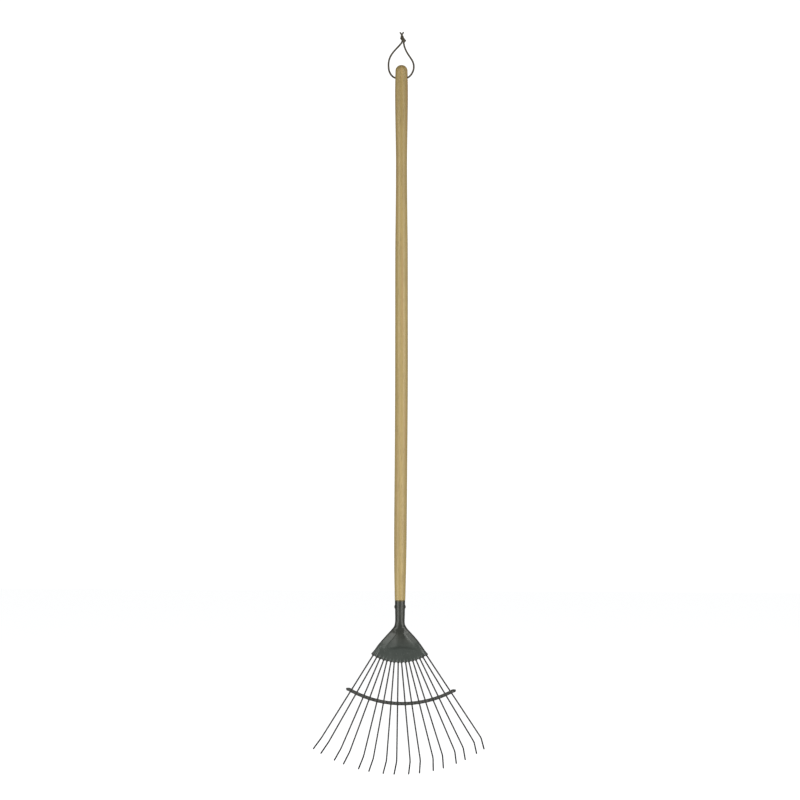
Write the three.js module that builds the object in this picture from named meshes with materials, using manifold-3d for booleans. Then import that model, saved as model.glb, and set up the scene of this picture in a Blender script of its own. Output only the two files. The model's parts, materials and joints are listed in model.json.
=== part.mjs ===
// Leaf rake: an ash handle, a pressed steel head, eight sprung wire hairpins that make sixteen tines,
// a two-strip brace across them, and a knotted thong through the top of the handle to hang it by.
//
// Millimetres. +Z is up along the handle, +X across the fan of tines. The tine tips point to -Y.
// The origin is where a hook holds the thong, just under its knot, above the top of the handle.

import * as THREE from 'three';
import { mergeVertices } from 'three/addons/utils/BufferGeometryUtils.js';
import Module from 'manifold-3d';

const wasm = await Module();
wasm.setup();

const { lerp, smoothstep, degToRad } = THREE.MathUtils;

// ---------------------------------------------------------------- driving dimensions

const GAP = 0.3;                   // clearance kept between pieces that touch

const HANDLE_TOP = -48.5;          // height of the crown of the handle
const CROWN_HEIGHT = 13;           // height of the rounded crown
const CROWN_RADIUS = 13.6;         // handle radius at the foot of the crown
const HANDLE_LENGTH = 1204;        // crown to shoulder, where the socket starts
const BOW_START = 650;             // distance below the crown where the shaft starts to lean
const BOW_END = 1260;              // distance below the crown where it stands straight again
const BOW = -3.4;                  // sideways lean of the shaft at its foot
const TENON_LENGTH = 40;           // handle foot inside the socket
const CORD_HOLE_Z = -78;           // cross hole for the thong
const CORD_HOLE_RADIUS = 3.5;

const SHEET = 1.2;                 // head steel thickness
const SOCKET_MOUTH_RADIUS = 11.6;  // outside of the socket at its mouth
const SOCKET_FOOT_RADIUS = 10.6;   // outside of the socket where it starts to open
const SEAM_HALF_ANGLE = 6;         // degrees left open at the back of the socket
const FAN_CENTRE_Z = -1286;        // the point that the tines spread from
const FAN_RADIUS = 108.5;          // fan centre to the lower edge of the head
const CORNER_DROP = 2.6;           // how much lower its corners are than a circle would put them
const HEAD_LEAN = 0.8;             // degrees that the fan plate leans to the left of the socket
const FLANGE_Y = 4;                // middle of the flat of the fan plate
const SIDE_LIP = 2.4;              // how far the side edges of the fan turn back
const LEFT_FLANGE = 15.5;          // from the foot of the dome to the side edge
const RIGHT_FLANGE = 11.5;
const DOME_END = 77;               // fan radius where the pressed dome has run out
const DOME_STEP = 4.5;             // height of the step at the end of the dome

const REAR_THICKNESS = 1;          // clamp plate behind the wires
const REAR_TOP_RADIUS = 73;        // its upper edge, from the fan centre
const REAR_INSET = 3.2;            // degrees between its ends and the corners of the fan

const WIRE = 3.3;                  // tine wire diameter
const HAIRPIN_RADIUS = 88;         // fan centre to the start of each U-bend
const PAIR_SPACING = 8.9;          // degrees between neighbouring hairpins at the head
const EDGE_HALF_GAP = 4.7;         // half the distance between the legs of a pair at the head's edge
const TIP_HALF_GAP = 11.6;         // and at the tip bend, in the middle of the fan
const OUTER_GAP_LOSS = 2.2;        // how much narrower that is in the outermost pairs
const TIP_BEND_RADIUS = 330;       // fan centre to the tip bends
const TIP_BEND_ANGLE = 70;         // degrees that each tip turns towards -Y
const TIP_LENGTH = 64;             // from the bend to the end of the wire
const BEND_INSIDE = 7;             // centreline radius of the tip bend
const TIP_LEAN = 0.7;              // degrees that the tips lean to the left of straight forward
const LAST_TIP_LEAN = 2.2;         // and in the rightmost pair
const TIP_ANGLES = [-31, -22.1, -12.6, -3.4, 5.9, 14.9, 23.7, 31.9];  // each pair's middle at its bends

const BRACE_WIDTH = 7.6;
const BRACE_THICKNESS = 1;
const BRACE_RADIUS = 242;          // curve of the brace
const BRACE_OFFSET_X = 3;          // centre of that curve, from the head's middle
const BRACE_DEPTH = 200;           // fan centre to the middle of the brace
const BRACE_TOP = 2.5;             // half the flat that rides over a tine
const BRACE_FOOT = 5.5;            // half the width of the whole rise over a tine

const CORD = 4;                    // thong diameter

// ---------------------------------------------------------------- places that follow from them

const SHOULDER_Z = HANDLE_TOP - HANDLE_LENGTH;
const MOUTH_REACH = FAN_CENTRE_Z - (SHOULDER_Z - GAP);      // socket mouth, as a fan radius (negative)
const SOCKET_RIVET_Z = SHOULDER_Z - 15;
const HEAD_X = BOW;
const WIRE_Y = FLANGE_Y + SHEET / 2 + GAP + WIRE / 2;
const REAR_FRONT_Y = WIRE_Y + WIRE / 2 + GAP;
const REAR_BACK_Y = REAR_FRONT_Y + REAR_THICKNESS;
const PAIRS = TIP_ANGLES.length;

// ---------------------------------------------------------------- materials

const ash = { color: 0xb39c69, roughness: 0.55, metalness: 0 };
const coatedSteel = { color: 0x4a4e49, roughness: 0.5, metalness: 0.55 };
const tineSteel = { color: 0x54564f, roughness: 0.45, metalness: 0.6 };
const leather = { color: 0x46402f, roughness: 0.8, metalness: 0 };

// ---------------------------------------------------------------- helpers

const rake = new THREE.Group();

function addPiece(name, geometry, finish) {
  const piece = new THREE.Mesh(geometry, new THREE.MeshStandardMaterial(finish));
  piece.name = name;
  rake.add(piece);
}

// A point of the fan: its distance from the fan centre, and its angle from straight down.
function fanPoint(radius, angle, y = WIRE_Y) {
  return new THREE.Vector3(HEAD_X + radius * Math.sin(angle), y, FAN_CENTRE_Z - radius * Math.cos(angle));
}

// Positions only, with shared corners merged, as booleans need.
function welded(geometry) {
  const bare = new THREE.BufferGeometry();
  bare.setAttribute('position', geometry.getAttribute('position').clone());
  if (geometry.index) {
    bare.setIndex(geometry.index.clone());
  }
  return mergeVertices(bare, 1e-4);
}

function toSolid(geometry) {
  const closed = welded(geometry);
  return new wasm.Manifold(new wasm.Mesh({
    numProp: 3,
    vertProperties: new Float32Array(closed.getAttribute('position').array),
    triVerts: new Uint32Array(closed.index.array),
  }));
}

function toGeometry(solid) {
  const mesh = solid.getMesh();
  const geometry = new THREE.BufferGeometry();
  geometry.setAttribute('position', new THREE.BufferAttribute(new Float32Array(mesh.vertProperties), 3));
  geometry.setIndex(new THREE.BufferAttribute(new Uint32Array(mesh.triVerts), 1));
  return geometry;
}

function cut(geometry, tools) {
  let solid = toSolid(geometry);
  for (const tool of tools) {
    solid = solid.subtract(toSolid(tool));
  }
  return toGeometry(solid);
}

// A path that is sampled only at the ring places given, so straight runs cost no triangles.
class RingPath extends THREE.Curve {
  constructor(places) {
    super();
    this.places = places;
  }

  getPointAt(u, target = new THREE.Vector3()) {
    return target.copy(this.places[Math.round(u * (this.places.length - 1))]);
  }

  getTangentAt(u, target = new THREE.Vector3()) {
    const last = this.places.length - 1;
    const here = Math.round(u * last);
    const before = this.places[Math.max(here - 1, 0)];
    const after = this.places[Math.min(here + 1, last)];
    return target.subVectors(after, before).normalize();
  }
}

function tube(places, radius, sides = 8) {
  const section = new THREE.Shape();
  for (let side = 0; side < sides; side += 1) {
    const turn = (side / sides) * 2 * Math.PI;
    const corner = new THREE.Vector2(Math.cos(turn), Math.sin(turn)).multiplyScalar(radius);
    if (side === 0) {
      section.moveTo(corner.x, corner.y);
    } else {
      section.lineTo(corner.x, corner.y);
    }
  }
  section.closePath();
  return new THREE.ExtrudeGeometry(section, {
    steps: places.length - 1,
    bevelEnabled: false,
    extrudePath: new RingPath(places),
  });
}

// A straight drill or shank between two points.
function rod(start, end, radius, sides = 12) {
  return tube([start, end], radius, sides);
}

function alongY(place, fromY, toY, radius, sides) {
  const start = new THREE.Vector3(place.x, fromY, place.z);
  const end = new THREE.Vector3(place.x, toY, place.z);
  return rod(start, end, radius, sides);
}

// A closed skin over a grid of cross-sections. Each section is a loop with the same number of points.
function loft(sections) {
  const count = sections[0].length;
  const positions = sections.flat().flatMap((point) => [point.x, point.y, point.z]);
  const index = [];
  for (let row = 0; row < sections.length - 1; row += 1) {
    for (let column = 0; column < count; column += 1) {
      const next = (column + 1) % count;
      const a = row * count + column;
      const b = row * count + next;
      const c = a + count;
      const d = b + count;
      index.push(a, b, d, a, d, c);
    }
  }
  const capped = [[0, false], [sections.length - 1, true]];
  for (const [row, flipped] of capped) {
    for (const [a, b, c] of stripCap(count)) {
      const corners = [a, b, c].map((column) => row * count + column);
      index.push(...(flipped ? corners : corners.reverse()));
    }
  }
  const geometry = new THREE.BufferGeometry();
  geometry.setAttribute('position', new THREE.Float32BufferAttribute(positions, 3));
  geometry.setIndex(index);
  return facingOut(geometry);
}

// Triangles that close a long thin loop whose second half runs back beside its first half.
function stripCap(count) {
  const triangles = [];
  const half = count / 2;
  for (let column = 0; column < half - 1; column += 1) {
    const across = count - 1 - column;
    triangles.push([column, column + 1, across], [column + 1, across - 1, across]);
  }
  return triangles;
}

function facingOut(geometry) {
  const position = geometry.getAttribute('position');
  const corners = geometry.index.array;
  const a = new THREE.Vector3();
  const b = new THREE.Vector3();
  const c = new THREE.Vector3();
  let volume = 0;
  for (let i = 0; i < corners.length; i += 3) {
    a.fromBufferAttribute(position, corners[i]);
    b.fromBufferAttribute(position, corners[i + 1]);
    c.fromBufferAttribute(position, corners[i + 2]);
    volume += a.dot(b.cross(c));
  }
  if (volume < 0) {
    geometry.setIndex([...corners].reverse());
  }
  return geometry;
}

// A two-headed rivet round the Y axis. The grip is what lies between the undersides of the heads.
function rivet({ shank, head, rise, front, back, flushFront = false }) {
  const profile = [];
  const domeSteps = 3;
  if (flushFront) {
    profile.push(new THREE.Vector2(0, front), new THREE.Vector2(shank, front));
  } else {
    for (let step = 0; step <= domeSteps; step += 1) {
      const turn = (step / domeSteps) * (Math.PI / 2);
      profile.push(new THREE.Vector2(head * Math.sin(turn), front - rise * Math.cos(turn)));
    }
    profile.push(new THREE.Vector2(shank, front));
  }
  profile.push(new THREE.Vector2(shank, back));
  for (let step = domeSteps; step >= 0; step -= 1) {
    const turn = (step / domeSteps) * (Math.PI / 2);
    profile.push(new THREE.Vector2(head * Math.sin(turn), back + rise * Math.cos(turn)));
  }
  profile[0].x = 0;
  profile[profile.length - 1].x = 0;
  return new THREE.LatheGeometry(profile, 10);
}

// ---------------------------------------------------------------- handle

// Sideways place of the shaft's middle at a height.
function shaftX(z) {
  return BOW * smoothstep(HANDLE_TOP - z, BOW_START, BOW_END);
}

// Outside radius of the socket at a height.
function socketRadius(z) {
  const along = (SHOULDER_Z - z) / (SHOULDER_Z - FAN_CENTRE_Z + 12);
  return lerp(SOCKET_MOUTH_RADIUS, SOCKET_FOOT_RADIUS, THREE.MathUtils.clamp(along, 0, 1));
}

function handleProfile() {
  // Distance below the crown, and radius: a hand swell, a waist, the long shaft, the taper to the socket.
  const shaft = [
    [38, 14.2], [65, 14.5], [92, 14.3], [133, 13.7], [180, 12.9], [214, 12.5], [281, 12.7], [349, 13.4],
    [416, 14.1], [560, 14.3], [720, 14.4], [880, 14.2], [1060, 14.2], [1125, 13.6], [1165, 12.8],
    [HANDLE_LENGTH, 11.9],
  ];
  const profile = [];
  const crownSteps = 6;
  for (let step = 0; step <= crownSteps; step += 1) {
    const turn = (step / crownSteps) * (Math.PI / 2);
    const fall = CROWN_HEIGHT * (1 - Math.cos(turn));
    profile.push(new THREE.Vector2(CROWN_RADIUS * Math.sin(turn), HANDLE_TOP - fall));
  }
  for (const [below, radius] of shaft) {
    profile.push(new THREE.Vector2(radius, HANDLE_TOP - below));
  }
  const tenonFoot = SHOULDER_Z - TENON_LENGTH;
  const bore = SHEET + GAP;
  profile.push(new THREE.Vector2(socketRadius(SHOULDER_Z) - bore, SHOULDER_Z));
  profile.push(new THREE.Vector2(socketRadius(tenonFoot) - bore, tenonFoot));
  profile.push(new THREE.Vector2(0, tenonFoot));
  return profile.reverse();
}

function socketRivetHole() {
  const reach = SOCKET_MOUTH_RADIUS + 5;
  const start = new THREE.Vector3(HEAD_X - reach, 0, SOCKET_RIVET_Z);
  const end = new THREE.Vector3(HEAD_X + reach, 0, SOCKET_RIVET_Z);
  return rod(start, end, 2 + GAP);
}

function makeHandle() {
  const sides = 28;
  const shaft = new THREE.LatheGeometry(handleProfile(), sides);
  shaft.rotateX(Math.PI / 2);
  const position = shaft.getAttribute('position');
  for (let i = 0; i < position.count; i += 1) {
    position.setX(i, position.getX(i) + shaftX(position.getZ(i)));
  }
  const reach = 20;
  const cordHole = rod(
    new THREE.Vector3(-reach, 0, CORD_HOLE_Z),
    new THREE.Vector3(reach, 0, CORD_HOLE_Z),
    CORD_HOLE_RADIUS,
    16,
  );
  addPiece('handle', cut(shaft, [cordHole, socketRivetHole()]), ash);
}

// ---------------------------------------------------------------- head

// Half width of the head's outline at a depth below the fan centre: the socket, then the spreading
// shoulders, then a small ear at each corner.
function outlineHalfWidth(depth) {
  const neckDepth = 25;
  const neckSoftness = 3.5;
  const run = neckSoftness * Math.log(1 + Math.exp((depth - neckDepth) / neckSoftness));
  const ear = 2.2 * smoothstep(depth, 74, 90);
  return socketRadius(FAN_CENTRE_Z - depth) + 1.005 * run - 0.0023 * run * run + ear;
}

// How much a row of the sheet curves round the fan centre: not at all in the socket, fully in the fan.
function rowCurvature(radius) {
  return smoothstep(radius, 20, 60) / Math.max(radius, 1);
}

// Distance along a row from the middle to the side edge.
function edgeReach(radius) {
  const curvature = rowCurvature(radius);
  let reach = outlineHalfWidth(radius);
  if (curvature === 0) {
    return reach;
  }
  for (let pass = 0; pass < 30; pass += 1) {
    const depth = radius - (1 - Math.cos(reach * curvature)) / curvature;
    reach = Math.asin(Math.min(outlineHalfWidth(depth) * curvature, 1)) / curvature;
  }
  return reach;
}

// Middle of the sheet in the socket, across = -1..1 from one edge of the seam to the other.
function socketSection(across, radius) {
  const turn = across * degToRad(180 - SEAM_HALF_ANGLE);
  const middle = socketRadius(FAN_CENTRE_Z - radius) - SHEET / 2;
  return new THREE.Vector2(middle * Math.sin(turn), -middle * Math.cos(turn));
}

// Middle of the sheet in the fan: a dome, flanges that slope back, and side edges that are turned back.
function fanSection(across, radius) {
  const lipStart = 0.96;
  const reach = edgeReach(radius) - SHEET / 2;
  const side = Math.min(Math.abs(across) / lipStart, 1);
  const out = side * reach;
  const spread = smoothstep(radius, 36, 58);
  const opened = smoothstep(radius, 27, 50);
  // On the left the dome ends in a terrace before the flange, and on the right it runs on into it.
  const left = across < 0;
  const flange = left ? LEFT_FLANGE : RIGHT_FLANGE;
  const fall = left ? 0.15 : 0.31;
  const held = left ? lerp(0.85, 0.2, smoothstep(radius, 36, 78)) : lerp(0.55, 0.1, spread);
  const domeHalf = reach - opened * flange;
  const offset = Math.min(out / domeHalf, 1);
  const beyond = Math.max(out - domeHalf, 0);
  const endHere = radius - 7 * (left ? offset : offset ** 2);
  const neckHeight = FLANGE_Y + SOCKET_FOOT_RADIUS;
  const slope = neckHeight - (neckHeight - DOME_STEP) * THREE.MathUtils.clamp((endHere - 12) / 58, 0, 1);
  const height = slope * (1 - smoothstep(endHere, DOME_END - 9, DOME_END));
  const arch = (1 - side * side) ** 0.6;
  const dome = held * (1 - beyond / flange) + (1 - held) * (1 - offset * offset) ** (left ? 2 : 1);
  const rise = height * lerp(arch, dome, opened);
  const sloped = fall * beyond * spread * (1 - smoothstep(radius, 66, 81));
  // The turned-back edge fades in below the neck, and out again above the wires.
  const lipHere = SIDE_LIP * smoothstep(radius, 26, 50) * (1 - smoothstep(radius, 66, 80));
  const lip = (lipHere * Math.max(Math.abs(across) - lipStart, 0)) / (1 - lipStart);
  return new THREE.Vector2(Math.sign(across) * side * reach, FLANGE_Y - rise + sloped + lip);
}

// One row of the middle of the sheet, from the left edge to the right edge.
function sheetRow(radius, acrossList) {
  const unrolled = smoothstep(radius, 10, 32);
  const flat = acrossList.map((across) => {
    const rolled = socketSection(across, radius);
    return rolled.lerp(fanSection(across, radius), unrolled);
  });
  const widest = Math.max(...flat.map((point) => point.x));
  const stretch = (edgeReach(radius) - SHEET / 2) / widest;
  const curvature = rowCurvature(radius);
  const middleX = HEAD_X - Math.max(radius, 0) * Math.tan(degToRad(HEAD_LEAN));
  const drop = CORNER_DROP * smoothstep(radius, 80, FAN_RADIUS);
  return flat.map((point, column) => {
    const along = point.x * stretch;
    const lower = drop * acrossList[column] ** 2;
    if (curvature === 0) {
      return new THREE.Vector3(middleX + along, point.y, FAN_CENTRE_Z - radius);
    }
    const x = Math.sin(along * curvature) / curvature;
    const lift = (1 - Math.cos(along * curvature)) / curvature;
    return new THREE.Vector3(middleX + x, point.y, FAN_CENTRE_Z - radius + lift - lower);
  });
}

// Each row of the sheet as a thin closed loop: its front from left to right, its back from right to left.
function thickened(rows) {
  const normalAt = (row, column) => {
    const last = rows.length - 1;
    const end = rows[0].length - 1;
    const down = new THREE.Vector3().subVectors(
      rows[Math.min(row + 1, last)][column],
      rows[Math.max(row - 1, 0)][column],
    );
    const over = new THREE.Vector3().subVectors(
      rows[row][Math.min(column + 1, end)],
      rows[row][Math.max(column - 1, 0)],
    );
    return down.cross(over).normalize();
  };
  return rows.map((places, row) => {
    const front = [];
    const back = [];
    places.forEach((place, column) => {
      const half = normalAt(row, column).multiplyScalar(SHEET / 2);
      front.push(place.clone().sub(half));
      back.unshift(place.clone().add(half));
    });
    return front.concat(back);
  });
}

// A rivet goes through the middle of each hairpin's U-bend.
function rivetPlaces() {
  const places = [];
  for (let pair = 0; pair < PAIRS; pair += 1) {
    places.push(legPoint(pair, -1, HAIRPIN_RADIUS).lerp(legPoint(pair, 1, HAIRPIN_RADIUS), 0.5));
  }
  return places;
}

function makeHeadShell() {
  const halfColumns = [0, 0.07, 0.15, 0.24, 0.33, 0.42, 0.51, 0.6, 0.68, 0.76, 0.84, 0.91, 0.96, 1];
  const acrossList = halfColumns.slice(1).reverse().map((across) => -across).concat(halfColumns);
  const radii = [MOUTH_REACH, -16, 0, 9, 14, 18, 22, 26, 30, 35, 41, 48, 55, 62, 68, 72, 76, 81, 88, 98, FAN_RADIUS];
  const shell = loft(thickened(radii.map((radius) => sheetRow(radius, acrossList))));
  const drills = rivetPlaces().map((place) => alongY(place, -5, 15, 2 + GAP, 10));
  addPiece('head_shell', cut(shell, [socketRivetHole(), ...drills]), coatedSteel);
}

function makeSocketRivet() {
  const grip = socketRadius(SOCKET_RIVET_Z) + GAP;
  const pin = rivet({ shank: 2, head: 3.3, rise: 1, front: -grip, back: grip });
  pin.rotateZ(Math.PI / 2);
  pin.translate(HEAD_X, 0, SOCKET_RIVET_Z);
  addPiece('socket_rivet', pin, coatedSteel);
}

// The clamp plate: a flat band of the fan, with a hole for each rivet.
function makeRearPlate() {
  const cornerAngle = edgeReach(FAN_RADIUS) / FAN_RADIUS;
  const half = cornerAngle - degToRad(REAR_INSET);
  const down = -Math.PI / 2 - degToRad(HEAD_LEAN);
  const band = new THREE.Shape();
  band.absarc(0, 0, FAN_RADIUS - 0.5, down - half, down + half, false);
  band.absarc(0, 0, REAR_TOP_RADIUS, down + half, down - half, true);
  band.closePath();
  for (const place of rivetPlaces()) {
    const hole = new THREE.Path();
    hole.absarc(place.x - HEAD_X, place.z - FAN_CENTRE_Z, 2 + GAP, 0, 2 * Math.PI, true);
    band.holes.push(hole);
  }
  const plate = new THREE.ExtrudeGeometry(band, { depth: REAR_THICKNESS, bevelEnabled: false, curveSegments: 10 });
  plate.rotateX(Math.PI / 2);
  plate.translate(HEAD_X, REAR_BACK_Y, FAN_CENTRE_Z);
  addPiece('rear_plate', plate, coatedSteel);
}

function makePairRivets() {
  rivetPlaces().forEach((place, pair) => {
    const pin = rivet({
      shank: 2,
      head: 3.4,
      rise: 1.2,
      front: FLANGE_Y - SHEET / 2,
      back: REAR_BACK_Y + GAP,
      flushFront: true,
    });
    pin.translate(place.x, 0, place.z);
    addPiece(`pair_rivet_${pair + 1}`, pin, coatedSteel);
  });
}

// ---------------------------------------------------------------- tines

// Direction of a hairpin's middle at the head's edge.
function headAngle(pair) {
  return degToRad((pair - (PAIRS - 1) / 2) * PAIR_SPACING - HEAD_LEAN / 3);
}

// The straight part of one leg, side = -1 or 1, at a distance from the fan centre.
function legPoint(pair, side, radius) {
  const edge = FAN_RADIUS + 5;
  const outer = (TIP_ANGLES[pair] / 31) ** 2;
  const tipHalf = TIP_HALF_GAP - OUTER_GAP_LOSS * outer;
  const start = fanPoint(edge, headAngle(pair) + (side * EDGE_HALF_GAP) / edge);
  const end = fanPoint(TIP_BEND_RADIUS, degToRad(TIP_ANGLES[pair]) + (side * tipHalf) / TIP_BEND_RADIUS);
  return start.lerp(end, (radius - edge) / (TIP_BEND_RADIUS - edge));
}

// From the end of the straight part, round the tip bend to the end of the wire.
function tipPlaces(pair, side) {
  const turn = degToRad(TIP_BEND_ANGLE);
  const setback = BEND_INSIDE * Math.tan(turn / 2);
  const outward = legPoint(pair, side, TIP_BEND_RADIUS).sub(legPoint(pair, side, HAIRPIN_RADIUS)).normalize();
  const lean = degToRad(lerp(TIP_LEAN, LAST_TIP_LEAN, smoothstep(pair, PAIRS - 3, PAIRS - 1)));
  const towards = new THREE.Vector3(-Math.sin(lean), -Math.cos(lean), 0);
  const bendStart = legPoint(pair, side, TIP_BEND_RADIUS).addScaledVector(outward, -setback);
  const places = [];
  const steps = 4;
  for (let step = 0; step <= steps; step += 1) {
    const angle = (step / steps) * turn;
    const place = bendStart.clone();
    place.addScaledVector(outward, BEND_INSIDE * Math.sin(angle));
    place.addScaledVector(towards, BEND_INSIDE * (1 - Math.cos(angle)));
    places.push(place);
  }
  const tipDirection = outward.multiplyScalar(Math.cos(turn)).addScaledVector(towards, Math.sin(turn));
  places.push(places[steps].clone().addScaledVector(tipDirection, TIP_LENGTH - setback));
  return places;
}

// The U-bend that joins the two legs, from the leg at side -1 to the leg at side 1.
function hairpinPlaces(pair) {
  const left = legPoint(pair, -1, HAIRPIN_RADIUS);
  const right = legPoint(pair, 1, HAIRPIN_RADIUS);
  const middle = left.clone().lerp(right, 0.5);
  const across = right.clone().sub(middle);
  const inward = new THREE.Vector3(across.z, 0, -across.x).negate();
  const places = [];
  const steps = 8;
  for (let step = 0; step <= steps; step += 1) {
    const angle = (step / steps) * Math.PI;
    const place = middle.clone().addScaledVector(across, -Math.cos(angle));
    places.push(place.addScaledVector(inward, Math.sin(angle)));
  }
  return places;
}

function makeTinePairs() {
  for (let pair = 0; pair < PAIRS; pair += 1) {
    const places = [...tipPlaces(pair, -1).reverse(), ...hairpinPlaces(pair), ...tipPlaces(pair, 1)];
    addPiece(`tine_pair_${pair + 1}`, tube(places, WIRE / 2), tineSteel);
  }
}

// ---------------------------------------------------------------- brace

// A point on the brace's middle line, at an angle round the brace's own centre.
function bracePoint(angle, y) {
  const x = HEAD_X + BRACE_OFFSET_X + BRACE_RADIUS * Math.sin(angle);
  const z = FAN_CENTRE_Z - BRACE_DEPTH + BRACE_RADIUS * (1 - Math.cos(angle));
  return new THREE.Vector3(x, y, z);
}

// The angle where a tine crosses the brace.
function braceCrossing(pair, side) {
  let radius = BRACE_DEPTH;
  let angle = 0;
  for (let pass = 0; pass < 20; pass += 1) {
    const onLeg = legPoint(pair, side, radius);
    angle = Math.asin((onLeg.x - HEAD_X - BRACE_OFFSET_X) / BRACE_RADIUS);
    radius += onLeg.z - bracePoint(angle, 0).z;
  }
  return angle;
}

function crossings() {
  const angles = [];
  for (let pair = 0; pair < PAIRS; pair += 1) {
    angles.push(braceCrossing(pair, -1), braceCrossing(pair, 1));
  }
  return angles;
}

// Stations along one strip: angle, and lift away from the middle of the wires. The strip rises over each
// tine and comes down to meet the other strip between tines.
function braceStations() {
  const low = GAP / 2;
  const high = WIRE / 2 + GAP;
  const foot = BRACE_FOOT / BRACE_RADIUS;
  const top = BRACE_TOP / BRACE_RADIUS;
  const stations = [];
  for (const angle of crossings()) {
    stations.push([angle - foot, low], [angle - top, high], [angle + top, high], [angle + foot, low]);
  }
  return stations;
}

// The four corners of a strip at one station.
function braceSection(middle, outward, half, inner, outer) {
  const corner = (reach, y) => {
    const place = middle.clone().addScaledVector(outward, reach);
    place.y = y;
    return place;
  };
  return [corner(-half, outer), corner(half, outer), corner(half, inner), corner(-half, inner)];
}

function braceStrip(facing) {
  const sections = braceStations().map(([angle, lift]) => {
    const outward = new THREE.Vector3(Math.sin(angle), 0, -Math.cos(angle));
    const inner = WIRE_Y + facing * lift;
    const outer = inner + facing * BRACE_THICKNESS;
    return braceSection(bracePoint(angle, 0), outward, BRACE_WIDTH / 2, inner, outer);
  });
  // Past the outer tines each end turns level and narrows to a blunt point.
  const down = new THREE.Vector3(0, 0, -1);
  const addEnd = (side, base, insert) => {
    for (const [reach, rise, half] of [[2.6, 0.7, 3], [5, 1.1, 2.2], [6.4, 1.2, 1]]) {
      const middle = base.clone().add(new THREE.Vector3(side * reach, 0, rise));
      const inner = WIRE_Y + facing * (GAP / 2);
      insert(braceSection(middle, down, half, inner, inner + facing * BRACE_THICKNESS));
    }
  };
  const angles = crossings();
  const foot = BRACE_FOOT / BRACE_RADIUS;
  addEnd(-1, bracePoint(angles[0] - foot, 0), (section) => sections.unshift(section));
  addEnd(1, bracePoint(angles[angles.length - 1] + foot, 0), (section) => sections.push(section));
  return loft(sections);
}

// Rivets sit half way between neighbouring hairpins.
function braceRivetAngles() {
  const angles = crossings();
  const middles = [];
  for (let pair = 0; pair < PAIRS - 1; pair += 1) {
    middles.push((angles[2 * pair + 1] + angles[2 * pair + 2]) / 2);
  }
  return middles;
}

function makeBrace() {
  const shank = 1.3;
  const drills = braceRivetAngles().map((angle) => {
    const place = bracePoint(angle, 0);
    return alongY(place, WIRE_Y - 5, WIRE_Y + 5, shank + GAP, 10);
  });
  addPiece('brace_front', cut(braceStrip(-1), drills), coatedSteel);
  addPiece('brace_rear', cut(braceStrip(1), drills), coatedSteel);
  const grip = GAP / 2 + BRACE_THICKNESS + GAP;
  braceRivetAngles().forEach((angle, number) => {
    const pin = rivet({ shank, head: 2.4, rise: 0.8, front: WIRE_Y - grip, back: WIRE_Y + grip });
    const place = bracePoint(angle, 0);
    pin.translate(place.x, 0, place.z);
    addPiece(`brace_rivet_${number + 1}`, pin, coatedSteel);
  });
}

// ---------------------------------------------------------------- hanging loop

// Route of the thong, chosen by hand: out of the knot, down the left side, through the handle's cross
// hole, and up the right side into the knot again.
const CORD_ROUTE = [
  [0.6, 0, 1.8], [-5.4, 0, -5.2], [-12.6, 0, -12.8], [-18.8, 0, -19.8], [-23.9, 0, -27.2], [-27.4, 0, -35.2],
  [-29.1, 0, -43.8], [-29.2, 0, -53.0], [-27.8, 0, -61.8], [-24.2, 0, -69.4], [-19.2, 0, -74.8],
  [-13.6, 0, -77.4], [-7, 0, -78.1], [0, 0, -78.2], [7, 0, -78.1], [13.4, 0, -77.3], [18.6, 0, -73.8],
  [23.2, 0, -68.2], [26.3, 0, -61.6], [27.7, 0, -54.4], [27.2, 0, -47.0], [24.7, 0, -39.8], [20.0, 0, -32.1],
  [14.8, 0, -24.4], [10.1, 0, -16.0], [6.8, 0, -7.6], [5.0, 0, 0.4],
];

function cordCurve() {
  return new THREE.CatmullRomCurve3(CORD_ROUTE.map((place) => new THREE.Vector3(...place)));
}

function makeHangingCord() {
  const steps = 52;
  addPiece('hanging_cord', tube(cordCurve().getSpacedPoints(steps), CORD / 2), leather);
}

// The overhand knot as a plain oblong body with its two tails, and a pocket for each end of the thong.
function makeCordKnot() {
  const body = new THREE.SphereGeometry(1, 14, 10);
  body.scale(5.4, 4.9, 8.7);
  body.rotateY(degToRad(-31));
  body.translate(3.3, 0, 8.8);
  const neck = new THREE.Vector3(1, 0, 15.4);
  const tails = [[-3, 1, 25.2], [4.2, -1, 25.2]].map((end) => rod(neck, new THREE.Vector3(...end), CORD / 2, 8));
  const curve = cordCurve();
  const pocketRadius = CORD / 2 + GAP;
  const ends = [[0, 1], [1, -1]].map(([u, direction]) => {
    const tangent = curve.getTangentAt(u).multiplyScalar(direction);
    const end = curve.getPointAt(u);
    return rod(end.clone().addScaledVector(tangent, 12), end.addScaledVector(tangent, -GAP), pocketRadius, 8);
  });
  let knot = toSolid(body);
  for (const tail of tails) {
    knot = knot.add(toSolid(tail));
  }
  for (const pocket of ends) {
    knot = knot.subtract(toSolid(pocket));
  }
  addPiece('cord_knot', toGeometry(knot), leather);
}

// ---------------------------------------------------------------- assembly

makeHandle();
makeHeadShell();
makeRearPlate();
makeSocketRivet();
makePairRivets();
makeTinePairs();
makeBrace();
makeHangingCord();
makeCordKnot();

export default rake;
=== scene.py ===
# The looks of a leaf rake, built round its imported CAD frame: a turned ash handle, a pressed and coated
# steel head, sprung wire tines, a riveted brace and a knotted leather thong.
#
# Metres. +Z is up along the handle, +X across the fan of tines, and the tine tips point to -Y.

import json
import math

import bmesh
import bpy
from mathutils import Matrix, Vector, noise


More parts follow.
